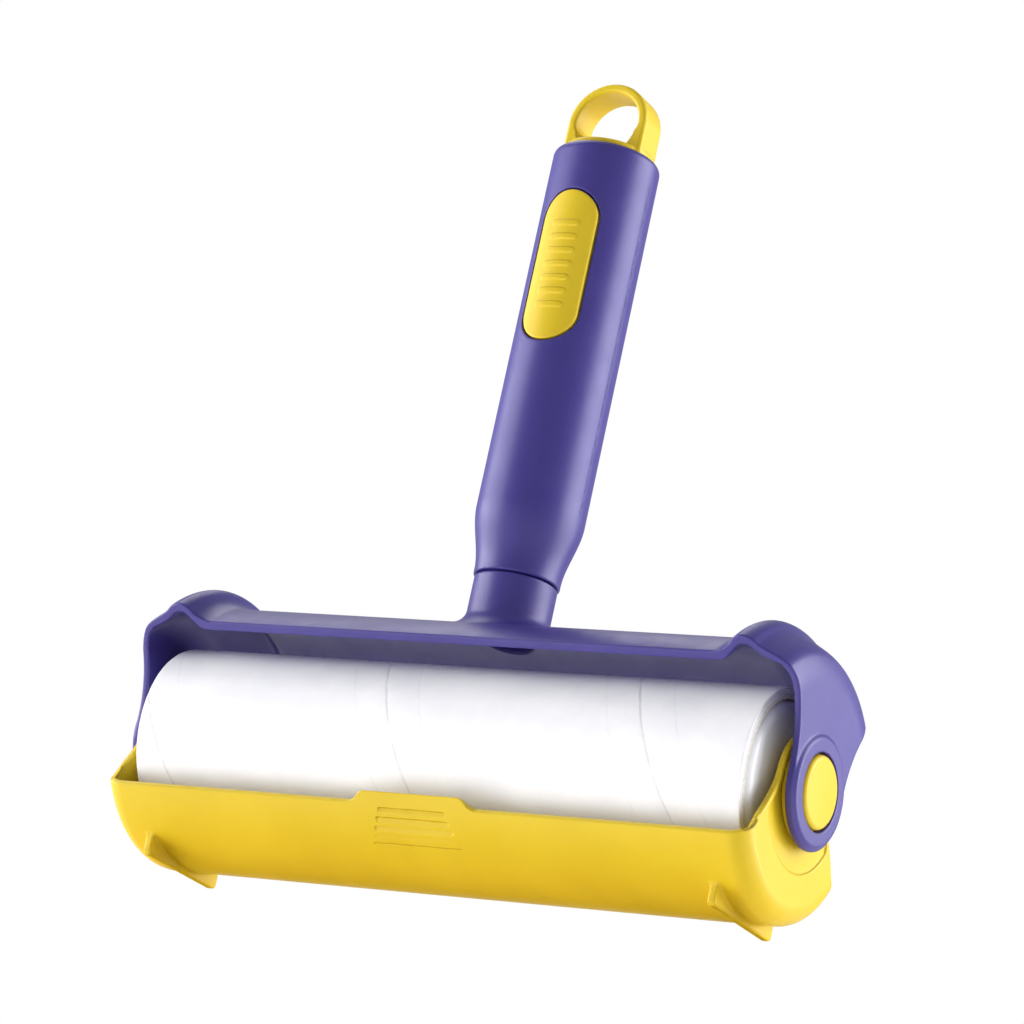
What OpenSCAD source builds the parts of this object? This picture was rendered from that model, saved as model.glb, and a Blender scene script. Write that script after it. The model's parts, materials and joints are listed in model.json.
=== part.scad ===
// Wide lint roller: a hood with two arms carries a sticky paper roll, a dust cover that swings
// round the same axis and nests inside the hood, and an upright handle with a hanging loop.
// Millimetres. +Z is up, X is the roll's axis, and -Y is the front, where the badge is.
// The origin is on the ground between the two feet, under the middle of the roll.

/* [Sticky roll] */
// Length of the paper roll
roll_len = 160; // [150:1:160]
// Outer radius of a full roll
roll_r = 23.2; // [22:0.1:24]
// Inner radius of the cardboard core
core_r = 20.4; // [20:0.1:20.6]
// Thickness of the cardboard core
core_wall = 1; // [0.8:0.1:1.2]

/* [Dust cover] */
// Outer radius of the trough
cover_r = 30.5; // [30:0.1:30.6]
// Thickness of the trough's wall
cover_wall = 2; // [1.6:0.1:2.2]
// Half of the angle that the trough spans, in degrees
cover_angle = 54.5; // [52:0.5:58]
// Outer face of the trough's end walls, from the middle
cover_end_x = 85; // [84.6:0.1:85.2]
// Angle up to which the thumb tab reaches, in degrees
tab_angle = 61; // [59:0.5:64]
// Half of the thumb tab's width at its top
tab_half = 13.5; // [8:0.1:16]
// How far the feet reach below the roll's axis
foot_drop = 31.5; // [31.2:0.1:31.6]
// Half of the feet's length, front to back
foot_half = 15.3; // [12:0.1:15.4]

/* [Hood] */
// Outer radius of the hood
hood_r = 33.4; // [33.2:0.1:34]
// Thickness of the hood's wall
hood_wall = 2.3; // [2:0.1:2.4]
// Half of the angle that the hood spans, in degrees
hood_angle = 43.5; // [42:0.5:46]
// Outer face of the arms, from the middle
arm_x = 87.9; // [87.7:0.1:88.1]
// Thickness of the arms
arm_wall = 1.7; // [1.5:0.1:1.9]
// Radius of the arms' round lower ends
arm_r = 13.4; // [13.1:0.1:14]
// Radius of the curve between an arm's edge and the hood's lip
arm_sweep = 30; // [24:1:32]

/* [Neck and handle] */
// Outer radius of the neck
neck_r = 10; // [9.8:0.1:10.2]
// Top of the neck, above the roll's axis
neck_top = 45; // [44:0.5:46]
// Outer radius of the handle
grip_r = 13.1; // [12.9:0.1:13.5]
// Top end of the handle, above the roll's axis
grip_top = 154.6; // [150:0.2:165]
// Length of the badge's pocket
badge_len = 39.4; // [30:0.2:44]
// Width of the badge's pocket
badge_w = 15.2; // [14:0.1:17]
// Middle of the badge, above the roll's axis
badge_z = 121.7; // [118:0.1:126]

/* [Hanging loop] */
// Half of the loop's outer width
loop_half = 10.7; // [9.5:0.1:10.8]
// Thickness of the loop's strap
loop_strap = 2.2; // [1.6:0.1:2.4]
// Depth of the loop, front to back
loop_depth = 9; // [6:0.1:9.4]

/* [Axle] */
// Radius of the button's visible head
button_r = 8.45; // [8.2:0.05:8.6]
// Radius of the journal that the dust cover swings on
journal_r = 6; // [5.5:0.1:6.5]
// Radius of the pin that the roller turns on
pin_r = 4; // [3.5:0.1:4.5]
// Radial clearance of the two running fits
running_gap = 0.05; // [0.02:0.01:0.09]

/* [Hidden] */
$fn = 96;

purple = [0.42, 0.36, 0.68];
yellow = [0.95, 0.82, 0.2];
white = [0.93, 0.93, 0.95];
paper = [0.97, 0.97, 0.98];
cardboard = [0.8, 0.74, 0.64];
steel = [0.7, 0.72, 0.75];

roll_half = roll_len / 2;
hood_in = hood_r - hood_wall;
cover_in = cover_r - cover_wall;

// Hood section
ridge_x = 74.9;           // middle of the ridges that the feet pass under
ridge_r = 37.75;          // top of the ridges
ridge_channel = 35.4;     // roof of the channel inside a ridge
shoulder_arc = 12;        // curve from the ridge to the arm
shoulder_x = arm_x - shoulder_arc;
shoulder_r = 24.5;
bay_arc = 10.5;           // the same curve on the inside
bay_r = 24.7;
boss_r = 12.5;            // raised ring round the button
boss_rise = 0.8;
button_hole_r = 9;
arm_in = arm_x - arm_wall;

// Neck
neck_bore = 7.4;
neck_web = 3;             // solid web that the screw clamps
spigot_r = 8.6;           // part of the neck inside the handle
spigot_len = 11.8;
fit_gap = 0.05;           // between fixed parts that slip together
neck_joint = 0.3;         // visible groove between neck and handle
handle_web_z = neck_top + spigot_len + 0.2;
handle_web = 3;
handle_bore = 10.9;
boss_post_r = 4.2;
boss_post_len = 12;
screw_r = 1.6;
screw_head_r = 3.6;
screw_head_h = 2.4;

// Badge
pocket_floor = 11.9;
badge_face = 13.25;
badge_gap = 0.4;
rib_face = 13.6;
rib_count = 7;
rib_pitch = 3.5;
rib_half = 3.6;
rib_w = 1.4;

// Loop
loop_floor = 4.6;         // thickness of the loop's base above the handle's end
loop_arch_z = grip_top + 7.7;
loop_corner = 3.5;
plug_depth = 10;

// Dust cover
corner_r = 5;             // rounding of the trough's outer end corners
recess_r = 18.5;          // round recess that an arm's end sits in
recess_depth = 0.6;
end_wall = 1.6;           // thickness of the end walls and ears
bearing_r = 9.5;          // boss behind each ear, round the journal
bearing_len = 1.8;
recess_rim = 1.6;         // width left between the recess and an ear's edge
ear_r = 13.3;             // rounding of the trough's ears about the axis
skirt = [[14, -0.6], [15.3, -4.4], [21.25, -14.8]];  // an ear's edge, from its waist to the lip
foot_thick = 2;
foot_round = 1.2;
groove_count = 5;
groove_pitch = 4.4;
groove_top = 52.4;        // angle of the highest groove's middle
groove_depth = 0.6;
groove_fade = 0.12;       // how much shallower each groove is than the one above

// Axle
button_face_x = 89.2;
button_edge = 1.1;
flange_r = 11.5;
flange_x = 84.6;
journal_end_x = 81;
pin_end_x = 71;
flange_seat = arm_in;

// Roller
drum_r = core_r - 0.1;
drum_in = 18.25;
drum_half = roll_half - 4;
hub_face_x = roll_half + 0.6;
hub_edge = 3;
hub_spigot_len = 6;
hub_skin = 1.6;
hub_web_x = hub_face_x - 2.2;
hub_boss_r = 7;
hub_boss_end = roll_half - 12;

function arc(cx, cy, r, a0, a1, n) =
    [for (i = [0:n]) let (a = a0 + (a1 - a0) * i / n) [cx + r * cos(a), cy + r * sin(a)]];
function flip(pts) = [for (i = [len(pts) - 1:-1:0]) [-pts[i][0], pts[i][1]]];
function swap(pts) = [for (p = pts) [p[1], p[0]]];

// Both ends of a section that is drawn for the right end only, from the axle outwards and back
function both_ends(outer, inner) = concat(outer, flip(outer), flip(inner), inner);

module on_axis() translate([0, 0, foot_drop]) children();
module along_x() rotate([90, 0, 90]) children();
// Turns a section of [x, radius] points round the roll's axis
module turned(pts) along_x() rotate_extrude() polygon(swap(pts));
module disc_x(r, x0, x1) along_x() translate([0, 0, x0]) cylinder(r = r, h = x1 - x0);

// ---------- hood ----------
hood_outer = concat(
    [[arm_x + boss_rise, button_hole_r], [arm_x + boss_rise, boss_r - 0.3],
     [arm_x + boss_rise - 0.3, boss_r], [arm_x, boss_r + 0.5]],
    arc(shoulder_x, shoulder_r, shoulder_arc, 0, 50, 10),
    [[82.6, 33.9], [80.3, 34.5], [79.4, 35.1], [77.2, 37.3], [76.2, ridge_r], [73.7, ridge_r],
     [72.9, 37.3], [71.1, 34.8], [70.3, 33.9], [69, hood_r]]);
hood_inner = concat(
    [[69.8, hood_in], [70.4, 31.8], [73.6, 35], [74.2, ridge_channel], [76.2, ridge_channel],
     [79, 32.9], [79.9, 32.5], [82.6, 31.7]],
    arc(arm_in - bay_arc, bay_r, bay_arc, 40, 0, 10),
    [[arm_in, button_hole_r]]);

// End outline of the hood and arms: y across, z up, from the lip down to the round end
module hood_outline(h) {
    sweep_z = ((arm_r + arm_sweep) * cos(hood_angle) - arm_sweep) / sin(hood_angle);
    sweep_y = arm_r + arm_sweep;
    lip = sweep_y * sin(hood_angle) + sweep_z * cos(hood_angle);
    reach = 60;
    half = [[arm_r, 0], [arm_r, sweep_z], [lip * sin(hood_angle), lip * cos(hood_angle)],
            [reach * sin(hood_angle), reach * cos(hood_angle)]];
    difference() {
        union() {
            translate([0, 0, -h]) linear_extrude(2 * h) polygon(concat(half, flip(half)));
            translate([0, 0, -h]) cylinder(r = arm_r, h = 2 * h);
        }
        for (side = [-1, 1])
            translate([side * sweep_y, sweep_z, -h - 1]) cylinder(r = arm_sweep, h = 2 * h + 2);
    }
}

module neck_solid() {
    flare = concat([[0, 31.6], [13.2, 31.6]],
                   [for (a = [270:-15:180]) [neck_r + 3.2 + 3.2 * cos(a), 36 + 3.2 * sin(a)]],
                   [[neck_r, neck_top], [spigot_r, neck_top],
                    [spigot_r, neck_top + spigot_len], [0, neck_top + spigot_len]]);
    difference() {
        rotate_extrude() polygon(flare);
        disc_x(hood_in + hood_wall / 2, -20, 20);
    }
}

module hood() on_axis() color(purple) {
    web_z = neck_top + spigot_len - neck_web;
    difference() {
        union() {
            intersection() {
                turned(both_ends(hood_outer, hood_inner));
                along_x() hood_outline(arm_x + 5);
            }
            neck_solid();
        }
        translate([0, 0, 20]) cylinder(r = neck_bore, h = web_z - 20);
        cylinder(r = screw_r + 0.4, h = neck_top + spigot_len + 1);
    }
}

// ---------- handle ----------
module stadium(len, w) {
    for (end = [-1, 1]) translate([0, end * (len - w) / 2]) circle(d = w);
    square([w, len - w], center = true);
}

// A stadium-shaped slug through the handle's front, kept between two radii
module front_slug(len, w, r0, r1) {
    intersection() {
        translate([0, 0, badge_z]) rotate([90, 0, 0]) linear_extrude(20) stadium(len, w);
        translate([0, 0, badge_z - badge_len]) difference() {
            cylinder(r = r1, h = 2 * badge_len);
            translate([0, 0, -1]) cylinder(r = r0, h = 2 * badge_len + 2);
        }
    }
}

module handle() on_axis() color(purple) {
    edge = grip_r - handle_bore;
    z0 = neck_top + neck_joint;
    section = concat(
        [[spigot_r + fit_gap, z0], [neck_r + 0.2, z0], [neck_r + 0.4, z0 + 0.3],
         [neck_r + 0.4, 48.4], [10.65, 49.8], [11, 51.1], [11.8, 54], [12.4, 56.8], [12.8, 58.9],
         [grip_r - 0.08, 61], [grip_r, 63]],
        arc(handle_bore, grip_top - edge, edge, 0, 90, 8),
        [[handle_bore, handle_web_z + handle_web], [boss_post_r, handle_web_z + handle_web],
         [boss_post_r, handle_web_z + handle_web + boss_post_len],
         [screw_r + fit_gap, handle_web_z + handle_web + boss_post_len],
         [screw_r + fit_gap, handle_web_z], [spigot_r + fit_gap, handle_web_z]]);
    difference() {
        rotate_extrude() polygon(section);
        front_slug(badge_len, badge_w, pocket_floor, grip_r + 5);
    }
}

module grip_badge() on_axis() color(yellow) {
    front_slug(badge_len - 2 * badge_gap, badge_w - 2 * badge_gap, pocket_floor + 0.02, badge_face);
    for (i = [0:rib_count - 1])
        intersection() {
            translate([0, 0, badge_z + (i - (rib_count - 1) / 2) * rib_pitch]) rotate([90, 0, 0])
                linear_extrude(20) rotate(90) stadium(2 * rib_half, rib_w);
            translate([0, 0, badge_z - badge_len]) difference() {
                cylinder(r = rib_face, h = 2 * badge_len);
                translate([0, 0, -1]) cylinder(r = badge_face - 0.5, h = 2 * badge_len + 2);
            }
        }
}

module hang_loop() on_axis() color(yellow) {
    hole_half = loop_half - loop_strap;
    base_z = grip_top + 0.05;
    floor_z = grip_top + loop_floor;
    translate([0, 0, grip_top - plug_depth])
        cylinder(r = handle_bore - fit_gap, h = base_z - grip_top + plug_depth + 1.5);
    translate([0, loop_depth / 2, 0]) rotate([90, 0, 0]) linear_extrude(loop_depth) difference() {
        union() {
            translate([-loop_half, base_z]) square([2 * loop_half, loop_arch_z - base_z]);
            translate([0, loop_arch_z]) circle(r = loop_half);
        }
        translate([0, loop_arch_z]) circle(r = hole_half);
        for (side = [-1, 1])
            translate([side * (hole_half - loop_corner), floor_z + loop_corner]) circle(r = loop_corner);
        translate([-hole_half + loop_corner, floor_z])
            square([2 * (hole_half - loop_corner), loop_arch_z - floor_z]);
        translate([-hole_half, floor_z + loop_corner])
            square([2 * hole_half, loop_arch_z - floor_z - loop_corner]);
    }
}

module neck_screw() on_axis() color(steel) {
    seat = neck_top + spigot_len - neck_web;
    tip = handle_web_z + handle_web + boss_post_len - 3;
    slot_w = 0.9;
    difference() {
        rotate_extrude() polygon([[0, seat - screw_head_h], [screw_head_r - 1.2, seat - screw_head_h],
            [screw_head_r - 0.3, seat - screw_head_h + 0.8], [screw_head_r, seat], [screw_r, seat],
            [screw_r, tip - 2.5], [0, tip]]);
        for (turn = [0, 90]) rotate(turn) translate([-2, -slot_w / 2, seat - screw_head_h - 1])
            cube([4, slot_w, 2.4]);
    }
}

// ---------- axle ----------
module axle_button() turned(concat(
    [[pin_end_x, 0], [pin_end_x, pin_r - 0.5], [pin_end_x + 0.5, pin_r], [journal_end_x, pin_r],
     [journal_end_x, journal_r - 0.2], [journal_end_x + 0.2, journal_r], [flange_x, journal_r],
     [flange_x, flange_r], [flange_seat, flange_r], [flange_seat, button_r]],
    [for (a = [0:15:75]) [button_face_x - 0.2 - button_edge + button_edge * sin(a),
                          button_r - button_edge + button_edge * cos(a)]],
    [[button_face_x - 0.15, 6.4], [button_face_x - 0.05, 4], [button_face_x, 0]]));

module axle_button_right() on_axis() color(yellow) axle_button();
module axle_button_left() on_axis() color(yellow) mirror([1, 0, 0]) axle_button();

// ---------- dust cover ----------
cover_outer = concat(
    [[cover_end_x, journal_r + running_gap]],
    arc(cover_end_x - corner_r, cover_r - corner_r, corner_r, 0, 90, 10));
cover_inner = concat(
    arc(cover_end_x - corner_r, cover_r - corner_r, corner_r - cover_wall, 90, 0, 8),
    [[cover_end_x - end_wall, cover_r - corner_r - 1.5], [cover_end_x - end_wall, bearing_r],
     [cover_end_x - end_wall - bearing_len, bearing_r],
     [cover_end_x - end_wall - bearing_len, journal_r + running_gap]]);

// End outline of the trough and its ears, which may be drawn smaller
module cover_outline(h, inset = 0) {
    lip = [cover_r * sin(cover_angle), -cover_r * cos(cover_angle)];
    low = [skirt[2][0] + 3 * (lip[0] - skirt[2][0]), skirt[2][1] + 3 * (lip[1] - skirt[2][1])];
    in = [inset, inset / 2];
    half = [[ear_r, 3] - [inset, 0], skirt[0] - [inset, 0], skirt[1] - in, skirt[2] - in,
            low - in, [30, -50]];
    translate([0, 0, -h]) linear_extrude(2 * h) polygon(concat(half, flip(half)));
    translate([0, 0, -h]) cylinder(r = ear_r - inset, h = 2 * h);
}

// The round recess in each end wall, which leaves a rim along the ear
module end_recess() {
    floor_x = cover_end_x - recess_depth;
    intersection() {
        disc_x(recess_r, floor_x, cover_end_x + 1);
        along_x() cover_outline(cover_end_x + 5, recess_rim);
    }
}

// A band of the trough's wall between two angles, counted from straight down towards the front
module wall_band(r0, r1, a0, a1, half) {
    along_x() rotate(-90 - a1) rotate_extrude(angle = a1 - a0)
        translate([r0, -half]) square([r1 - r0, 2 * half]);
}

module thumb_tab() {
    flank = 3;
    z_top = -cover_r * cos(tab_angle);
    z_low = -cover_r * cos(cover_angle);
    intersection() {
        wall_band(cover_in, cover_r, cover_angle - 3, tab_angle, tab_half + flank);
        rotate([90, 0, 0]) linear_extrude(40)
            polygon([[-tab_half, z_top + 1], [-tab_half - flank, z_low], [-tab_half - flank, -40],
                     [tab_half + flank, -40], [tab_half + flank, z_low], [tab_half, z_top + 1]]);
    }
}

module foot() {
    r = foot_round;
    difference() {
        along_x() translate([0, 0, ridge_x - foot_thick / 2]) linear_extrude(foot_thick) {
            translate([-foot_half, -foot_drop + r]) square([2 * foot_half, foot_drop - 20 - r]);
            translate([-foot_half + r, -foot_drop]) square([2 * (foot_half - r), foot_drop - 20]);
            for (side = [-1, 1])
                translate([side * (foot_half - r), -foot_drop + r]) circle(r = r, $fn = 48);
        }
        disc_x(cover_in + cover_wall / 2, ridge_x - 5, ridge_x + 5);
    }
}

module dust_cover() on_axis() color(yellow) difference() {
    union() {
        intersection() {
            turned(both_ends(cover_outer, cover_inner));
            along_x() cover_outline(cover_end_x + 5);
        }
        thumb_tab();
        foot();
        mirror([1, 0, 0]) foot();
    }
    end_recess();
    mirror([1, 0, 0]) end_recess();
    for (i = [0:groove_count - 1]) {
        a = groove_top - i * groove_pitch;
        floor_r = cover_r - groove_depth + i * groove_fade;
        wall_band(floor_r, cover_r + 1, a - 1.1, a + 1.1, 8.9 + i * 0.7);
    }
}

// ---------- roller ----------
module tube_x(r0, r1, half) along_x() translate([0, 0, -half]) difference() {
    cylinder(r = r1, h = 2 * half);
    translate([0, 0, -1]) cylinder(r = r0, h = 2 * half + 2);
}

module roller_drum() on_axis() color(white) tube_x(drum_in, drum_r, drum_half);
module paper_core() on_axis() color(cardboard) tube_x(core_r, core_r + core_wall, roll_half);
module sticky_roll() on_axis() color(paper) tube_x(core_r + core_wall + fit_gap, roll_r, roll_half);

module roller_hub() turned(concat(
    [[hub_face_x, pin_r + running_gap]],
    [for (a = [90:-15:0]) [hub_face_x - hub_edge + hub_edge * sin(a),
                           drum_r - hub_edge + hub_edge * cos(a)]],
    [[drum_half, drum_r], [drum_half, drum_in - fit_gap],
     [drum_half - hub_spigot_len, drum_in - fit_gap],
     [drum_half - hub_spigot_len, drum_in - fit_gap - hub_skin],
     [hub_web_x - 1.4, drum_in - fit_gap - hub_skin], [hub_web_x, drum_in - hub_skin - 1.5],
     [hub_web_x, hub_boss_r], [hub_boss_end, hub_boss_r], [hub_boss_end, pin_r + running_gap]]));

module roller_hub_right() on_axis() color(white) roller_hub();
module roller_hub_left() on_axis() color(white) mirror([1, 0, 0]) roller_hub();

hood();
handle();
hang_loop();
grip_badge();
neck_screw();
axle_button_left();
axle_button_right();
dust_cover();
roller_drum();
roller_hub_left();
roller_hub_right();
paper_core();
sticky_roll();
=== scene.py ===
"""Looks of a wide lint roller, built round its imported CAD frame.

Shapes are worked out in millimetres about the roll's axis, with X along it and Z up the handle, and are
turned into metres in the row frame when a piece is made. Most pieces are sculpted: the CAD node's mesh is
remeshed finely, and every vertex is then moved onto a smooth shape function with rounded edges.
"""
import json
import math

import bmesh
import bpy
import numpy as np
from mathutils import Matrix, Vector


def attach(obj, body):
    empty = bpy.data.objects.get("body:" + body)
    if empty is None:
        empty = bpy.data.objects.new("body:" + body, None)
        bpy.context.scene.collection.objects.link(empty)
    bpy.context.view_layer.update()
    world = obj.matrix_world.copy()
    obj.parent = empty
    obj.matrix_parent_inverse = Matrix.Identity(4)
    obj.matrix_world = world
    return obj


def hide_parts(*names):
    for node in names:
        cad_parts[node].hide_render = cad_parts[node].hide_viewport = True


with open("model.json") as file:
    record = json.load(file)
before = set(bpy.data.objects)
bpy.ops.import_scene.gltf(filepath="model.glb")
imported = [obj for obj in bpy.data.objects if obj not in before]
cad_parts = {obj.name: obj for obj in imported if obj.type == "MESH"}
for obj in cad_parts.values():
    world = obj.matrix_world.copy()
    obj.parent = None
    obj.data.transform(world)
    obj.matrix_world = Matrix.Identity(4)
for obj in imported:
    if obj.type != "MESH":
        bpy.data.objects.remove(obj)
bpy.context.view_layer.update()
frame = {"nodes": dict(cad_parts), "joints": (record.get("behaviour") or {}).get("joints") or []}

MM = 0.001
AXIS = Vector(frame["joints"][0]["pos_m"])

# ---------------------------------------------------------------- driving sizes, mm
HOOD_R, HOOD_IN = 33.4, 31.1
HOOD_ANGLE = math.radians(43.5)
RIDGE_R, CHANNEL_R = 37.75, 35.4
ARM_X, ARM_IN, ARM_R, ARM_SWEEP = 87.9, 86.2, 13.4, 30.0
SHOULDER_ARC, SHOULDER_R, BAY_ARC, BAY_R = 12.0, 36.5, 10.5, 35.2
BOSS_R, BOSS_X, BUTTON_HOLE = 12.5, 88.7, 9.0
NECK_R, NECK_TOP, NECK_BORE, NECK_WEB = 10.0, 45.0, 7.4, 53.8
SPIGOT_R, SPIGOT_TOP = 8.6, 56.8
GRIP_R, GRIP_LOW, GRIP_TOP, GRIP_BORE = 13.1, 45.3, 154.6, 10.9
GRIP_FOOT_R, WAIST_LOW, WAIST_HIGH = 10.4, 46.5, 62.0
BADGE_Z, BADGE_LEN, BADGE_W, POCKET_FLOOR = 121.7, 39.4, 15.2, 11.9
BADGE_FACE, BADGE_GAP = 13.25, 0.4
RIB_PITCH, RIB_LEN, RIB_WIDE, RIB_RISE, RIBS_EACH_WAY = 3.5, 7.2, 1.4, 0.35, 3
LOOP_HALF, LOOP_STRAP, LOOP_DEPTH, LOOP_ARCH, LOOP_FLOOR = 10.7, 2.2, 9.0, 162.3, 159.2
COVER_R, COVER_IN, COVER_X = 30.5, 28.5, 85.0
TAB_ANGLE, TAB_HALF = math.radians(61), 13.5
GROOVES, GROOVE_TOP, GROOVE_PITCH = 5, 52.4, 4.4          # angles in degrees, from straight down
GROOVE_HALF_WIDE, GROOVE_HALF_LEN, GROOVE_GROWTH = 0.58, 8.85, 0.7
GROOVE_DEPTH, GROOVE_FADE = 0.6, 0.12
RECESS_R, RECESS_X, RECESS_RIM = 18.5, 84.4, 1.6
END_IN, BEARING_R, BEARING_X = 83.4, 9.5, 81.6
EAR_R, WAIST_ARC, WAIST_Y, WAIST_Z, SKIRT_TURN = 13.3, 15.0, 28.12, 3.2, math.radians(30)
FOOT_X, FOOT_DROP, FOOT_HALF, FOOT_THICK = 74.9, 31.5, 15.3, 2.0
ROLL_R, ROLL_HALF, CORE_R, CORE_WALL = 23.2, 80.0, 20.4, 1.0
DRUM_R, DRUM_IN, DRUM_HALF, HUB_X = 20.3, 18.25, 76.0, 80.6
BUTTON_R, BUTTON_X, FLANGE_R, FLANGE_X = 8.45, 89.2, 11.5, 84.6
JOURNAL_R, JOURNAL_X, PIN_R, PIN_X = 6.0, 81.0, 4.0, 71.0
RUNNING_GAP = 0.05
SPIRAL_PITCH, SPIRAL_X = 66.6, 72.7                        # the outer sheet's cut along the roll


# ---------------------------------------------------------------- shape functions
# A shape is a signed distance in mm: negative inside, positive outside.
def join(a, b, fillet):
    """Both shapes, with a fillet of that radius where they meet."""
    return np.maximum(fillet, np.minimum(a, b)) - np.hypot(
        np.maximum(fillet - a, 0), np.maximum(fillet - b, 0))


def common(a, b, edge):
    """Where both shapes are, with the edge between them rounded to that radius."""
    return -join(-a, -b, edge)


def without(a, b, edge):
    """The first shape less the second, with a rounded edge."""
    return -join(-a, b, edge)


def half_plane(u, v, at_u, at_v, degrees):
    """Inside of a straight side through a point, whose outward normal has that direction."""
    a = math.radians(degrees)
    return math.cos(a) * (u - at_u) + math.sin(a) * (v - at_v)


def corner(u, v, end_u, end_v, radius):
    """Inside of u < end_u and v < end_v, with the corner rounded."""
    a, b = u - end_u + radius, v - end_v + radius
    return np.hypot(np.maximum(a, 0), np.maximum(b, 0)) + np.minimum(np.maximum(a, b), 0) - radius


def stadium(u, v, length, width):
    """A bar with round ends, its length along v."""
    return np.hypot(u, np.maximum(np.abs(v) - (length - width) / 2, 0)) - width / 2


def hood_outline(y, z):
    """The hood and its arms seen from the end: lips, swept edges and round lower ends."""
    centre_y = ARM_R + ARM_SWEEP
    centre_z = (centre_y * math.cos(HOOD_ANGLE) - ARM_SWEEP) / math.sin(HOOD_ANGLE)
    lip = y * math.cos(HOOD_ANGLE) - z * math.sin(HOOD_ANGLE)
    along_lip = (y - centre_y) * math.sin(HOOD_ANGLE) + (z - centre_z) * math.cos(HOOD_ANGLE)
    sweep = ARM_SWEEP - np.hypot(y - centre_y, z - centre_z)
    arm = np.where(z > 0, y - ARM_R, np.hypot(y, z) - ARM_R)
    return np.where(along_lip > 0, lip, np.where(z > centre_z, sweep, arm))


def hood_shape(x, y, z):
    """The purple moulding: shell, hollow ridges, arms with their boss rings, neck and spigot."""
    x, r, stem = np.abs(x), np.hypot(y, z), np.hypot(x, y)
    crown = common(half_plane(x, r, 71.4, 35.4, 142), half_plane(x, r, 78.3, 36.2, 45), 1)
    crown = common(crown, r - RIDGE_R, 1.3)
    shoulder = common(corner(x, r, ARM_X, SHOULDER_R, SHOULDER_ARC), half_plane(x, r, 80, 34.6, 75), 2.5)
    outer = join(np.maximum(r - HOOD_R, x - 75), np.maximum(crown, x - 84), 2.5)
    outer = join(outer, np.maximum(shoulder, 75 - x), 1.5)
    outer = join(outer, common(r - BOSS_R, x - BOSS_X, 0.7), 0.9)
    solid = common(outer, hood_outline(np.abs(y), z), 0.55)
    neck = common(stem - NECK_R, z - NECK_TOP, 0.35)
    solid = join(solid, np.maximum(neck, 20 - z), 3.2)
    solid = np.minimum(solid, np.maximum(common(stem - SPIGOT_R, z - SPIGOT_TOP, 0.4), 40 - z))
    channel = common(half_plane(x, r, 72, 33.4, 135), half_plane(x, r, 77.6, 34.15, 48), 0.6)
    channel = common(channel, r - CHANNEL_R, 0.6)
    end_bay = common(corner(x, r, ARM_IN, BAY_R, BAY_ARC), half_plane(x, r, 80.5, 32.3, 73.5), 2)
    bay = join(np.maximum(r - HOOD_IN, x - 75), np.maximum(channel, x - 83), 1)
    bay = join(bay, np.maximum(end_bay, 76 - x), 1)
    solid = without(solid, bay, 0.55)
    solid = without(solid, np.maximum(r - BUTTON_HOLE, 80 - x), 0.3)
    solid = without(solid, np.maximum(np.maximum(stem - NECK_BORE, z - NECK_WEB), 20 - z), 0.4)
    return without(solid, np.maximum(stem - 2, 50 - z), 0.1)


def cover_outline(y, z):
    """The trough seen from the end: straight lips, skirts, a waist, and ears round about the axis."""
    lip = half_plane(y, z, 15.3, -10, 51)
    skirt = half_plane(y, z, 15.3, -4.6, 30)
    waist = WAIST_ARC - np.hypot(y - WAIST_Y, z - WAIST_Z)
    below = (y - WAIST_Y) * math.sin(SKIRT_TURN) - (z - WAIST_Z) * math.cos(SKIRT_TURN)
    side = np.where(below > 0, skirt, waist)
    side = np.where(z * WAIST_Y > y * WAIST_Z, np.hypot(y, z) - EAR_R, side)
    return join(lip, side, 3.5)


def cover_shape(x, y, z):
    """The yellow moulding: trough, ears with round recesses, thumb tab with grooves, and feet."""
    x, r = np.abs(x), np.hypot(y, z)
    tab_z = -COVER_R * math.cos(TAB_ANGLE)
    tab = common(z - tab_z, half_plane(x, z, TAB_HALF, tab_z, 41), 0.8)
    ends = cover_outline(np.abs(y), z)
    outline = join(ends, np.where(y < 0, tab, 50.0), 1.6)
    solid = common(corner(x, r, COVER_X, COVER_R, 5), outline, 0.5)
    foot = common(np.abs(x - FOOT_X) - FOOT_THICK / 2,
                  corner(np.abs(y), -z, FOOT_HALF, FOOT_DROP, 1.2), 0.4)
    solid = join(solid, np.maximum(foot, z + 20), 0.8)
    bearing = common(r - BEARING_R, BEARING_X - x, 0.4)
    cavity = without(corner(x, r, END_IN, COVER_IN, 3.4), bearing, 0.5)
    solid = without(solid, cavity, 0.5)
    recess = common(common(r - RECESS_R, ends + RECESS_RIM, 1.5), RECESS_X - x, 0.3)
    solid = without(solid, recess, 0.5)
    solid = without(solid, np.maximum(r - JOURNAL_R - RUNNING_GAP, 75 - x), 0.2)
    for i in range(GROOVES):
        solid = without(solid, groove_shape(x, y, z, i), 0.15)
    return solid


def groove_shape(x, y, z, i):
    """One thumb groove, deepest along its upper edge. Each is longer and shallower than the one above."""
    r = np.hypot(y, z)
    along = r * (np.arctan2(-y, -z) - math.radians(GROOVE_TOP - GROOVE_PITCH * i))
    groove = common(np.abs(along) - GROOVE_HALF_WIDE, x - GROOVE_HALF_LEN - GROOVE_GROWTH * i, 0.3)
    share = np.clip(along / (2 * GROOVE_HALF_WIDE) + 0.5, 0, 1)
    depth = (GROOVE_DEPTH - GROOVE_FADE * i) * share
    return np.maximum(groove, COVER_R - depth - r)


def grip_radius(z):
    """Outer radius of the handle, which widens from its foot in one smooth wave."""
    t = np.clip((z - WAIST_LOW) / (WAIST_HIGH - WAIST_LOW), 0, 1)
    return GRIP_FOOT_R + (GRIP_R - GRIP_FOOT_R) * t * t * (3 - 2 * t)


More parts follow.
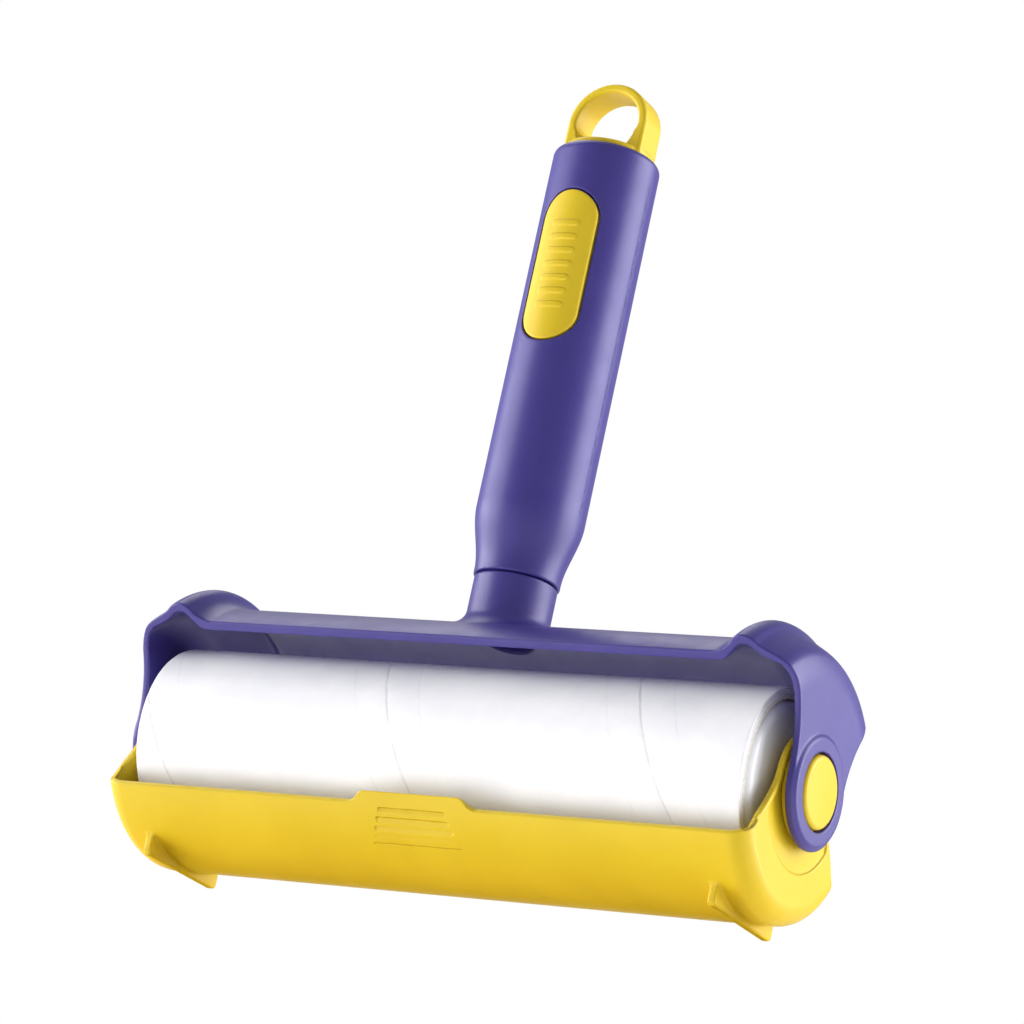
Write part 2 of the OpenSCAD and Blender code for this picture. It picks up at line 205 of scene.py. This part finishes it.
def grip_shape(x, y, z):
    """The purple handle tube, with the badge's pocket."""
    stem = np.hypot(x, y)
    solid = common(stem - grip_radius(z), z - GRIP_TOP, GRIP_R - GRIP_BORE - 0.1)
    solid = common(solid, GRIP_LOW - z, 0.35)
    solid = without(solid, np.maximum(stem - GRIP_BORE, 60 - z), 0.08)
    solid = without(solid, np.maximum(stem - SPIGOT_R - 0.05, z - 57), 0.2)
    pocket = common(stadium(x, z - BADGE_Z, BADGE_LEN, BADGE_W), POCKET_FLOOR - stem, 0.1)
    return without(solid, np.where(y < 0, pocket, 50.0), 0.3)


def badge_shape(x, y, z):
    """The yellow inlay, whose relief is a plain row of grip ribs."""
    stem = np.hypot(x, y)
    v = z - BADGE_Z
    outline = stadium(x, v, BADGE_LEN - 2 * BADGE_GAP, BADGE_W - 2 * BADGE_GAP)
    slug = common(outline, stem - BADGE_FACE, 0.45)
    slug = np.maximum(slug, POCKET_FLOOR + 0.02 - stem)
    nearest = np.clip(np.round(v / RIB_PITCH), -RIBS_EACH_WAY, RIBS_EACH_WAY) * RIB_PITCH
    rib = common(stadium(v - nearest, x, RIB_LEN, RIB_WIDE), stem - BADGE_FACE - RIB_RISE, 0.3)
    rib = np.maximum(rib, BADGE_FACE - 0.6 - stem)
    return np.maximum(join(slug, rib, 0.25), y)


def loop_shape(x, y, z):
    """The yellow end plug with its arched strap."""
    u = np.abs(x)
    arch = np.where(z > LOOP_ARCH, np.hypot(x, z - LOOP_ARCH), u) - LOOP_HALF
    hole_half = LOOP_HALF - LOOP_STRAP
    hole = np.where(z > LOOP_ARCH, np.hypot(x, z - LOOP_ARCH) - hole_half,
                    corner(u, -z, hole_half, -LOOP_FLOOR, 3.5))
    strap = common(arch, np.abs(y) - LOOP_DEPTH / 2, 0.9)
    strap = np.maximum(strap, GRIP_TOP + 0.05 - z)
    strap = without(strap, hole, 0.7)
    plug = common(np.hypot(x, y) - GRIP_BORE + 0.05, z - GRIP_TOP - 1.5, 0.8)
    return join(strap, np.maximum(plug, GRIP_TOP - 10 - z), 0.6)


def button_shape(x, y, z):
    """A yellow axle button: crowned head, hidden flange, journal and pin, on the side of x > 0."""
    r = np.hypot(y, z)
    crown = x - BUTTON_X + r * r / 500
    head = common(r - BUTTON_R, crown, 1.1)
    flange = np.maximum(r - FLANGE_R, np.maximum(FLANGE_X - x, x - ARM_IN))
    shape = join(np.maximum(head, ARM_IN - 0.5 - x), flange, 0.1)
    shape = join(shape, np.maximum(common(r - JOURNAL_R, JOURNAL_X - x, 0.3), x - 85), 0.1)
    return join(shape, np.maximum(common(r - PIN_R, PIN_X - x, 0.6), x - 85), 0.3)


def hub_shape(x, y, z):
    """A glossy drum end: domed rim, shallow dish round the bearing, on the side of x > 0."""
    r = np.hypot(y, z)
    face = corner(x, r, HUB_X, DRUM_R, 3.2)
    body = common(face, DRUM_HALF - x, 0.1)
    spigot = np.maximum(common(r - DRUM_IN + 0.05, DRUM_HALF - 6 - x, 0.3), x - 78)
    boss = np.maximum(common(r - 7, 68 - x, 0.3), x - 79)
    hollow = np.maximum(common(r - 16.5, x - 78.3, 1), 5 - r)
    shape = without(join(body, spigot, 0.1), np.maximum(hollow, 7 - r), 0.3)
    shape = join(shape, boss, 0.3)
    return without(shape, r - PIN_R - RUNNING_GAP, 0.3)


def slope_of(shape, points, step=0.02):
    """The shape's gradient at each point, by central differences."""
    out = np.empty_like(points)
    for k in range(3):
        ahead, behind = points.copy(), points.copy()
        ahead[:, k] += step
        behind[:, k] -= step
        out[:, k] = (shape(*ahead.T) - shape(*behind.T)) / (2 * step)
    return out


# ---------------------------------------------------------------- making pieces
def to_row(points):
    return points * MM + np.array(AXIS)


def add_piece(name, mesh, body, material, nodes=()):
    piece = bpy.data.objects.new(name, mesh)
    bpy.context.scene.collection.objects.link(piece)
    mesh.materials.clear()
    mesh.materials.append(material)
    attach(piece, body)
    if nodes:
        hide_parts(*nodes)
    return piece


def set_normals(mesh, normals):
    normals = normals / np.maximum(np.linalg.norm(normals, axis=1, keepdims=True), 1e-9)
    mesh.shade_smooth()
    mesh.normals_split_custom_set_from_vertices(normals.tolist())


def sculpt(name, node, shape, voxel, body, material, side=1):
    """Remeshes a CAD node and moves every vertex onto the shape, which may be mirrored in X."""
    source = frame["nodes"][node]
    mesh = source.data.copy()
    rough = bpy.data.objects.new(name + "_rough", mesh)
    bpy.context.scene.collection.objects.link(rough)
    weld = rough.modifiers.new("weld", "WELD")
    weld.merge_threshold = 1e-6
    remesh = rough.modifiers.new("remesh", "REMESH")
    remesh.mode = "VOXEL"
    remesh.voxel_size = voxel * MM
    graph = bpy.context.evaluated_depsgraph_get()
    fine = bpy.data.meshes.new_from_object(rough.evaluated_get(graph))
    bpy.data.objects.remove(rough)
    bpy.data.meshes.remove(mesh)
    fine.name = name

    co = np.empty(len(fine.vertices) * 3, np.float32)
    fine.vertices.foreach_get("co", co)
    points = (co.reshape(-1, 3).astype(float) - np.array(AXIS)) / MM
    mirrored = np.array([side, 1, 1])
    points = points * mirrored
    for _ in range(6):
        slope = slope_of(shape, points)
        size = np.maximum((slope ** 2).sum(axis=1), 0.1)
        far = np.clip(shape(*points.T), -0.35, 0.35)
        points -= slope * (far / size)[:, None]
    normals = slope_of(shape, points) * mirrored
    points = points * mirrored
    fine.vertices.foreach_set("co", to_row(points).astype(np.float32).ravel())
    fine.update()
    set_normals(fine, normals)
    return add_piece(name, fine, body, material, [node])


def rounded_section(corners, steps=6):
    """A closed section of (x, radius, rounding) corners as fine points with exact normals."""
    points, normals = [], []
    n = len(corners)
    area = sum(corners[i][0] * corners[(i + 1) % n][1] - corners[(i + 1) % n][0] * corners[i][1]
               for i in range(n))
    turn = 1 if area > 0 else -1
    for i, (x, r, rounding) in enumerate(corners):
        here = np.array([x, r], float)
        before = here - np.array(corners[i - 1][:2], float)
        after = np.array(corners[(i + 1) % n][:2], float) - here
        before /= np.linalg.norm(before)
        after /= np.linalg.norm(after)
        bend = math.atan2(before[0] * after[1] - before[1] * after[0], before @ after)
        reach = rounding * math.tan(abs(bend) / 2)
        inwards = np.array([-before[1], before[0]]) * math.copysign(1, bend)
        centre = here - before * reach + inwards * rounding
        for k in range(steps + 1):
            a = bend * k / steps
            spoke = -inwards
            spoke = np.array([spoke[0] * math.cos(a) - spoke[1] * math.sin(a),
                              spoke[0] * math.sin(a) + spoke[1] * math.cos(a)])
            points.append(centre + rounding * spoke)
            normals.append(spoke * (turn if bend > 0 else -turn))
    return np.array(points), np.array(normals)


def lathe(name, corners, body, material, nodes=(), segments=192):
    """Turns a rounded section about the roll's axis."""
    section, across = rounded_section(corners)
    angles = np.linspace(0, 2 * math.pi, segments, endpoint=False)
    rows = len(section)
    points, normals = [], []
    for a in angles:
        spin = np.array([[1, 0, 0], [0, math.cos(a), math.sin(a)]])
        points.append(section @ spin)
        normals.append(across @ spin)
    faces = []
    for i in range(segments):
        j = (i + 1) % segments
        for k in range(rows):
            m = (k + 1) % rows
            faces.append((i * rows + k, i * rows + m, j * rows + m, j * rows + k))
    points, normals = np.concatenate(points), np.concatenate(normals)
    a, b, c = (points[faces[0][k]] for k in range(3))
    if np.cross(b - a, c - a) @ normals[faces[0][0]] < 0:
        faces = [f[::-1] for f in faces]
    mesh = bpy.data.meshes.new(name)
    mesh.from_pydata(to_row(points).tolist(), [], faces)
    set_normals(mesh, normals)
    return add_piece(name, mesh, body, material, nodes)


def spiral_offset(x, t):
    """Distance along X from the outer sheet's spiral cut, within half a pitch either way."""
    at = SPIRAL_X + SPIRAL_PITCH * t / (2 * math.pi)
    return (x - at + SPIRAL_PITCH / 2) % SPIRAL_PITCH - SPIRAL_PITCH / 2


def paper_surface(across, turn):
    """Rings of points on the outer turn, with faint waves, the spiral cut and soft end edges."""
    edge = 0.25
    ease = np.linspace(0, math.pi / 2, 6)
    straight = np.linspace(ROLL_HALF - edge, edge - ROLL_HALF, across)[1:-1]
    end_x, end_drop = ROLL_HALF - edge + edge * np.cos(ease), edge * (1 - np.sin(ease))
    xs = np.concatenate([end_x, straight, -end_x[::-1]])
    drop = np.concatenate([end_drop, np.zeros(across - 2), end_drop[::-1]])
    x, t = np.meshgrid(xs, turn, indexing="ij")
    wave = 0.035 * np.sin(3 * t + 0.05 * x) + 0.02 * np.sin(7 * t - 0.11 * x + 1) - 0.055
    cut = spiral_offset(x, t)
    notch = 0.07 * np.exp(-(cut / 0.22) ** 2) + 0.02 * (cut > 0) * (cut < 9)
    radius = ROLL_R - drop[:, None] + wave - notch
    points = np.stack([x, radius * np.sin(t), radius * -np.cos(t)], axis=-1)
    return points.reshape(-1, 3), len(xs)


def paper_roll(name, body, side_material, end_material, nodes):
    """The roll: a fine tube whose two ends have a material of their own."""
    across, around = ((300, 300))
    inner = CORE_R + CORE_WALL + 0.05
    turn = np.linspace(0, 2 * math.pi, around, endpoint=False)
    outer, rows = paper_surface(across, turn)
    ring = np.stack([np.zeros(around), inner * np.sin(turn), inner * -np.cos(turn)], axis=-1)
    points = np.concatenate([outer, ring + [ROLL_HALF, 0, 0], ring + [-ROLL_HALF, 0, 0]])
    loops = [np.arange(around) + k * around for k in range(rows + 2)]
    order = [rows, *range(rows), rows + 1, rows]
    faces, is_end = [], []
    for a, b in zip(order, order[1:]):
        first, second = loops[a], loops[b]
        for i in range(around):
            j = (i + 1) % around
            faces.append((int(first[i]), int(second[i]), int(second[j]), int(first[j])))
        is_end += [int(rows in (a, b) or rows + 1 in (a, b))] * around
    mesh = bpy.data.meshes.new(name)
    mesh.from_pydata(to_row(points).tolist(), [], faces)
    mesh.update()
    mesh.shade_smooth()
    mesh.set_sharp_from_angle(angle=math.radians(50))
    piece = add_piece(name, mesh, body, side_material, nodes)
    mesh.materials.append(end_material)
    mesh.polygons.foreach_set("material_index", is_end)
    return piece


def screw_radii():
    """Rings of the screw from its head to its tip: a height and a function of the turn's share."""
    seat, tip = NECK_WEB, 68.5
    head, shank, crest, pitch = 3.6, 1.25, 1.6, 1.3
    profile = [(0, seat - 2.4), (2.2, seat - 2.4), (3.1, seat - 1.9), (3.5, seat - 1.1),
               (head, seat - 0.3), (head - 0.15, seat), (shank, seat)]
    rings = [(z, lambda share, radius=radius: radius) for radius, z in profile]

    def thread(z):
        taper = min(1.0, (tip - z) / 2.5)

        def radius(share):
            phase = ((z - seat) / pitch - share) % 1.0
            ridge = max(0.0, 1 - abs(phase - 0.5) / 0.28)
            return (shank + (crest - shank) * ridge) * taper
        return radius
    return rings + [(z, thread(z)) for z in np.linspace(seat + 0.01, tip, 140)]


def threaded_screw(name, body, material, nodes):
    """A pan-head screw with a raised helical thread, hidden under the handle."""
    per_turn = 24
    points, faces = [], []
    rings = screw_radii()
    for z, radius in rings:
        for k in range(per_turn):
            a = 2 * math.pi * k / per_turn
            reach = radius(k / per_turn)
            points.append((reach * math.cos(a), reach * math.sin(a), z))
    for row in range(len(rings) - 1):
        low, high = row * per_turn, (row + 1) * per_turn
        for k in range(per_turn):
            m = (k + 1) % per_turn
            faces.append((low + k, low + m, high + m, high + k))
    mesh = bpy.data.meshes.new(name)
    mesh.from_pydata(to_row(np.array(points)).tolist(), [], faces)
    welded = bmesh.new()
    welded.from_mesh(mesh)
    bmesh.ops.remove_doubles(welded, verts=welded.verts, dist=1e-6)
    bmesh.ops.recalc_face_normals(welded, faces=welded.faces)
    welded.to_mesh(mesh)
    welded.free()
    mesh.shade_smooth()
    mesh.set_sharp_from_angle(angle=math.radians(40))
    return add_piece(name, mesh, body, material, nodes)


# ---------------------------------------------------------------- materials
class Nodes:
    """A material's node tree, with short calls for the nodes used here."""

    def __init__(self, name):
        self.material = bpy.data.materials.new(name)
        self.material.use_nodes = True
        self.tree = self.material.node_tree
        self.shader = self.tree.nodes["Principled BSDF"]
        self.place = self.tree.nodes.new("ShaderNodeTexCoord").outputs["Object"]

    def link(self, output, node, socket):
        self.tree.links.new(output, node.inputs[socket])

    def feed(self, node, socket, value):
        if isinstance(value, bpy.types.NodeSocket):
            self.link(value, node, socket)
        else:
            node.inputs[socket].default_value = value

    def math(self, operation, a, b=0.0, c=0.0):
        node = self.tree.nodes.new("ShaderNodeMath")
        node.operation = operation
        for i, value in enumerate((a, b, c)):
            self.feed(node, i, value)
        return node.outputs[0]

    def noise(self, scale, detail=3.0, rough=0.5, stretch=(1, 1, 1)):
        mapping = self.tree.nodes.new("ShaderNodeMapping")
        mapping.inputs["Scale"].default_value = stretch
        self.link(self.place, mapping, "Vector")
        node = self.tree.nodes.new("ShaderNodeTexNoise")
        node.inputs["Scale"].default_value = scale
        node.inputs["Detail"].default_value = detail
        node.inputs["Roughness"].default_value = rough
        self.link(mapping.outputs[0], node, "Vector")
        return node.outputs["Fac"]

    def fit(self, value, low, high, to_low, to_high):
        node = self.tree.nodes.new("ShaderNodeMapRange")
        node.interpolation_type = "SMOOTHSTEP"
        limits = (("From Min", low), ("From Max", high), ("To Min", to_low), ("To Max", to_high))
        for socket, number in limits:
            node.inputs[socket].default_value = number
        self.link(value, node, "Value")
        return node.outputs[0]

    def mix(self, share, a, b):
        node = self.tree.nodes.new("ShaderNodeMix")
        node.data_type = "RGBA"
        self.feed(node, 0, share)
        self.feed(node, 6, a)
        self.feed(node, 7, b)
        return node.outputs[2]

    def bump(self, height, strength, distance, below=None):
        node = self.tree.nodes.new("ShaderNodeBump")
        node.inputs["Strength"].default_value = strength
        node.inputs["Distance"].default_value = distance
        self.link(height, node, "Height")
        if below is not None:
            self.link(below, node, "Normal")
        return node.outputs[0]

    def axes(self):
        node = self.tree.nodes.new("ShaderNodeSeparateXYZ")
        self.link(self.place, node, 0)
        return node.outputs[0], node.outputs[1], node.outputs[2]

    def surface(self, **sockets):
        for name, value in sockets.items():
            self.feed(self.shader, name.replace("_", " "), value)
        return self.material


def rgb(r, g, b):
    """A colour given as it looks on screen, from 0 to 255."""
    def linear(v):
        v /= 255
        return v / 12.92 if v <= 0.04045 else ((v + 0.055) / 1.055) ** 2.4
    return (linear(r), linear(g), linear(b), 1.0)


def moulded(name, colour, shade, rough, grain=0.10, glow=0.0, glow_colour=(1, 1, 1), ior=1.5,
            tint=(1, 1, 1, 1), seam=None):
    """Moulded plastic: faint flow marks in the colour, a fine spark-eroded grain, uneven gloss."""
    n = Nodes(name)
    flow = n.fit(n.noise(45, 4, 0.55, (1, 1, 0.5)), 0.3, 0.7, 0.0, 1.0)
    fine = n.noise(2600, 2, 0.6)
    smear = n.noise(160, 3, 0.6)
    colour = n.mix(flow, shade, colour)
    relief = n.bump(fine, grain, 0.00008)
    relief = n.bump(smear, 0.05, 0.0004, relief)
    if seam is not None:
        low, high = seam
        _, y, z = n.axes()
        line = n.fit(n.math("ABSOLUTE", y), 0.00006, 0.0003, 1.0, 0.0)
        line = n.math("MULTIPLY", line, n.fit(z, low - 0.001, low + 0.002, 0.0, 1.0))
        line = n.math("MULTIPLY", line, n.fit(z, high - 0.001, high + 0.001, 1.0, 0.0))
        broken = n.fit(n.noise(420, 2, 0.5, (0.2, 0.2, 1)), 0.42, 0.52, 0.15, 1.0)
        line = n.math("MULTIPLY", line, broken)
        relief = n.bump(line, 0.55, -0.00025, relief)
        colour = n.mix(n.math("MULTIPLY", line, 0.8), colour, rgb(34, 27, 80))
    gloss = n.fit(smear, 0.25, 0.75, rough - 0.035, rough + 0.045)
    return n.surface(Base_Color=colour, Roughness=gloss, Normal=relief, IOR=ior, Specular_Tint=tint,
                     Subsurface_Weight=glow, Subsurface_Radius=glow_colour, Subsurface_Scale=0.0012)


def paper_side():
    """Coated paper: fine fibres, a spiral cut with its faint twins on the turns below."""
    n = Nodes("paper_side")
    fibre = n.noise(1500, 5, 0.65, (1, 1, 1))
    cloud = n.noise(70, 4, 0.6)
    x, y, z = n.axes()
    turn = n.math("ARCTAN2", y, n.math("SUBTRACT", AXIS.z, z))
    along = n.math("SUBTRACT", n.math("DIVIDE", x, MM), SPIRAL_X)
    along = n.math("SUBTRACT", along, n.math("MULTIPLY", turn, SPIRAL_PITCH / (2 * math.pi)))
    wobble = n.fit(n.noise(300, 2, 0.5), 0.2, 0.8, -0.12, 0.12)
    along = n.math("ADD", along, wobble)

    def line(offset, half, strength):
        shifted = n.math("SUBTRACT", along, offset)
        near = n.math("ABSOLUTE", n.math("WRAP", shifted, SPIRAL_PITCH / 2, -SPIRAL_PITCH / 2))
        return n.math("MULTIPLY", n.fit(near, half * 0.3, half, 1.0, 0.0), strength)

    cut = line(0, 0.4, 1.0)
    twins = n.math("ADD", line(-8.7, 0.45, 0.25), line(8.7, 0.45, 0.3))
    patchy = n.fit(n.noise(190, 3, 0.6), 0.35, 0.6, 0.35, 1.0)
    marks = n.math("MULTIPLY", n.math("ADD", cut, twins), patchy)
    base = n.mix(n.fit(cloud, 0.3, 0.7, 0.0, 1.0), rgb(241, 241, 246), rgb(249, 249, 252))
    base = n.mix(n.math("MULTIPLY", marks, 0.32), base, rgb(170, 170, 180))
    relief = n.bump(fibre, 0.12, 0.00012)
    relief = n.bump(marks, 0.3, -0.0001, relief)
    return n.surface(Base_Color=base, Roughness=n.fit(cloud, 0.3, 0.7, 0.5, 0.62), Normal=relief,
                     Subsurface_Weight=0.08, Subsurface_Radius=(1.0, 0.9, 0.85), Subsurface_Scale=0.001)


def paper_end():
    """The roll's ends: the edges of many turns as fine rings."""
    n = Nodes("paper_end")
    _, y, z = n.axes()
    up = n.math("SUBTRACT", z, AXIS.z)
    radius = n.math("SQRT", n.math("ADD", n.math("MULTIPLY", y, y), n.math("MULTIPLY", up, up)))
    wander = n.math("MULTIPLY", n.noise(60, 3, 0.6), 0.0006)
    rings = n.math("SINE", n.math("MULTIPLY", n.math("ADD", radius, wander), 2 * math.pi / 0.00048))
    rings = n.fit(rings, -1, 1, 0.0, 1.0)
    cloud = n.noise(240, 3, 0.6)
    base = n.mix(rings, rgb(188, 188, 196), rgb(246, 246, 249))
    base = n.mix(n.fit(cloud, 0.3, 0.75, 0.0, 0.25), base, rgb(214, 212, 214))
    return n.surface(Base_Color=base, Roughness=0.7, Normal=n.bump(rings, 0.25, 0.00006))


def card():
    n = Nodes("grey_card")
    fibre = n.noise(900, 5, 0.7)
    base = n.mix(n.fit(fibre, 0.3, 0.7, 0.0, 1.0), rgb(196, 190, 180), rgb(226, 222, 214))
    return n.surface(Base_Color=base, Roughness=0.85, Normal=n.bump(fibre, 0.3, 0.0001))


def plated_steel():
    n = Nodes("plated_steel")
    brushed = n.noise(900, 3, 0.6, (1, 1, 8))
    base = n.mix(brushed, rgb(168, 170, 176), rgb(208, 210, 214))
    return n.surface(Base_Color=base, Metallic=1.0, Roughness=n.fit(brushed, 0.3, 0.7, 0.24, 0.4),
                     Normal=n.bump(brushed, 0.1, 0.00005))


# ---------------------------------------------------------------- stage
def aim(thing, at, towards):
    thing.location = at
    thing.rotation_mode = "QUATERNION"
    thing.rotation_quaternion = (Vector(towards) - Vector(at)).to_track_quat("-Z", "Y")


def camera():
    """The photograph's view: from low in front and to the right, rolled a little, through a long lens."""
    data = bpy.data.cameras.new("camera")
    data.lens, data.sensor_width = CAMERA_LENS, 36
    data.clip_start, data.clip_end = 0.01, 20
    cam = bpy.data.objects.new("camera", data)
    bpy.context.scene.collection.objects.link(cam)
    yaw, rise, roll = (math.radians(a) for a in CAMERA_TURN)
    back = Vector((math.sin(yaw) * math.cos(rise), -math.cos(yaw) * math.cos(rise), math.sin(rise)))
    level = Vector((math.cos(yaw), math.sin(yaw), 0))
    over = back.cross(level)
    right = level * math.cos(roll) + over * math.sin(roll)
    up = over * math.cos(roll) - level * math.sin(roll)
    cam.matrix_world = Matrix((right, up, back)).transposed().to_4x4()
    cam.location = AXIS + (Vector(CAMERA_TARGET) + back * CAMERA_FAR) * MM
    bpy.context.scene.camera = cam
    return right, up, back


def softbox(name, direction, far, wide, tall, power, target, colour=(1, 1, 1)):
    light = bpy.data.lights.new(name, "AREA")
    light.shape, light.size, light.size_y = "RECTANGLE", wide, tall
    light.energy, light.color = power, colour
    lamp = bpy.data.objects.new(name, light)
    bpy.context.scene.collection.objects.link(lamp)
    aim(lamp, target + direction.normalized() * far, target)
    return lamp


def floor():
    """A wide pale disc at the feet, which doesn't show from below and lets lamps through."""
    mesh = bpy.data.meshes.new("floor")
    reach, corners = 2.5, 96
    angles = np.linspace(0, 2 * math.pi, corners, endpoint=False)
    ring = [(reach * math.cos(a), reach * math.sin(a), 0) for a in angles]
    mesh.from_pydata(ring, [], [tuple(range(corners))])
    n = Nodes("pale_floor")
    cloud = n.noise(6, 3, 0.5)
    n.surface(Base_Color=n.mix(cloud, rgb(236, 236, 238), rgb(242, 242, 243)), Roughness=0.6)
    clear = n.tree.nodes.new("ShaderNodeBsdfTransparent")
    side = n.tree.nodes.new("ShaderNodeNewGeometry").outputs["Backfacing"]
    shadow = n.tree.nodes.new("ShaderNodeLightPath").outputs["Is Shadow Ray"]
    blend = n.tree.nodes.new("ShaderNodeMixShader")
    n.link(n.math("MAXIMUM", side, shadow), blend, 0)
    n.link(n.shader.outputs[0], blend, 1)
    n.link(clear.outputs[0], blend, 2)
    n.link(blend.outputs[0], n.tree.nodes["Material Output"], "Surface")
    mesh.materials.append(n.material)
    disc = bpy.data.objects.new("floor", mesh)
    bpy.context.scene.collection.objects.link(disc)


def surroundings(ambient):
    """A white backdrop to the eye, and a dimmer even light on the object."""
    world = bpy.data.worlds.new("studio")
    bpy.context.scene.world = world
    world.use_nodes = True
    tree = world.node_tree
    shine = tree.nodes["Background"]
    seen = tree.nodes.new("ShaderNodeLightPath").outputs["Is Camera Ray"]
    level = tree.nodes.new("ShaderNodeMapRange")
    level.inputs["To Min"].default_value = ambient
    level.inputs["To Max"].default_value = 1.0
    tree.links.new(seen, level.inputs["Value"])
    tree.links.new(level.outputs[0], shine.inputs["Strength"])
    shine.inputs["Color"].default_value = (1, 1, 1, 1)


# ---------------------------------------------------------------- the object
LAVENDER = (0.88, 0.84, 1.0, 1)
CAMERA_TURN = (31.271, -16.710, 12.290)
CAMERA_TARGET = (-5.343, 0, 63.051)
CAMERA_LENS, CAMERA_FAR = 152.5, 1029.3

purple = moulded("purple_satin", rgb(58, 49, 131), rgb(54, 45, 125), 0.40, 0.28, 0.06,
                 (0.5, 0.4, 1.0), 1.62, LAVENDER)
purple_grip = moulded("purple_grip", rgb(58, 49, 131), rgb(54, 45, 125), 0.38, 0.32, 0.06, (0.5, 0.4, 1.0),
                      1.62, LAVENDER, seam=(AXIS.z + 0.062, AXIS.z + 0.1476))
yellow = moulded("yellow_satin", rgb(219, 190, 41), rgb(214, 184, 36), 0.34, 0.08, 0.06, (1.0, 0.6, 0.12),
                 1.45, (1.0, 0.92, 0.7, 1))
white = moulded("white_gloss", rgb(238, 239, 243), rgb(232, 233, 238), 0.16, 0.03, 0.05, (1.0, 1.0, 1.0))

sculpt("hood_shell", "hood", hood_shape, 0.42, "hood", purple)
sculpt("handle_grip", "handle", grip_shape, 0.4, "hood", purple_grip)
sculpt("loop_cap", "hang_loop", loop_shape, 0.3, "hood", yellow)
sculpt("badge_inlay", "grip_badge", badge_shape, 0.16, "hood", yellow)
sculpt("cover_trough", "dust_cover", cover_shape, 0.42, "cover", yellow)
for side, word in ((-1, "left"), (1, "right")):
    sculpt("axle_cap_" + word, "axle_button_" + word, button_shape, 0.25,
           "hood", yellow, side)
    sculpt("drum_end_" + word, "roller_hub_" + word, hub_shape, 0.35,
           "roller", white, side)

lathe("drum_tube", [(-DRUM_HALF, DRUM_IN, 0.2), (-DRUM_HALF, DRUM_R, 0.2), (DRUM_HALF, DRUM_R, 0.2),
                    (DRUM_HALF, DRUM_IN, 0.2)], "roller", white, ["roller_drum"])
lathe("card_core", [(-ROLL_HALF, CORE_R, 0.15), (-ROLL_HALF, CORE_R + CORE_WALL, 0.15),
                    (ROLL_HALF, CORE_R + CORE_WALL, 0.15), (ROLL_HALF, CORE_R, 0.15)],
      "roller", card(), ["paper_core"])
paper_roll("adhesive_roll", "roller", paper_side(), paper_end(), ["sticky_roll"])
threaded_screw("neck_fixing", "hood", plated_steel(), ["neck_screw"])

# ---------------------------------------------------------------- camera and light
bpy.context.scene.view_settings.view_transform = "Standard"
right, up, back = camera()
middle = Vector((0, 0, 0.09))
roll_middle = Vector((0, 0, 0.025))
softbox("left_strip", -right * 0.996 - back * 0.09, 1.0, 1.1, 1.3, 22, middle)
softbox("right_strip", right * 0.998 - back * 0.06, 1.0, 0.8, 1.3, 16.5, middle)
softbox("left_fill", -right * 0.7 + back * 0.7 - up * 0.4, 0.9, 0.6, 0.5, 1.1, roll_middle)
softbox("right_fill", right * 0.7 + back * 0.7 - up * 0.45, 0.9, 0.6, 0.5, 0.85, roll_middle)
softbox("top_box", up * 0.75 - back * 0.65 - right * 0.15, 1.2, 1.1, 0.6, 4.5, middle)
surroundings(0.38)
floor()
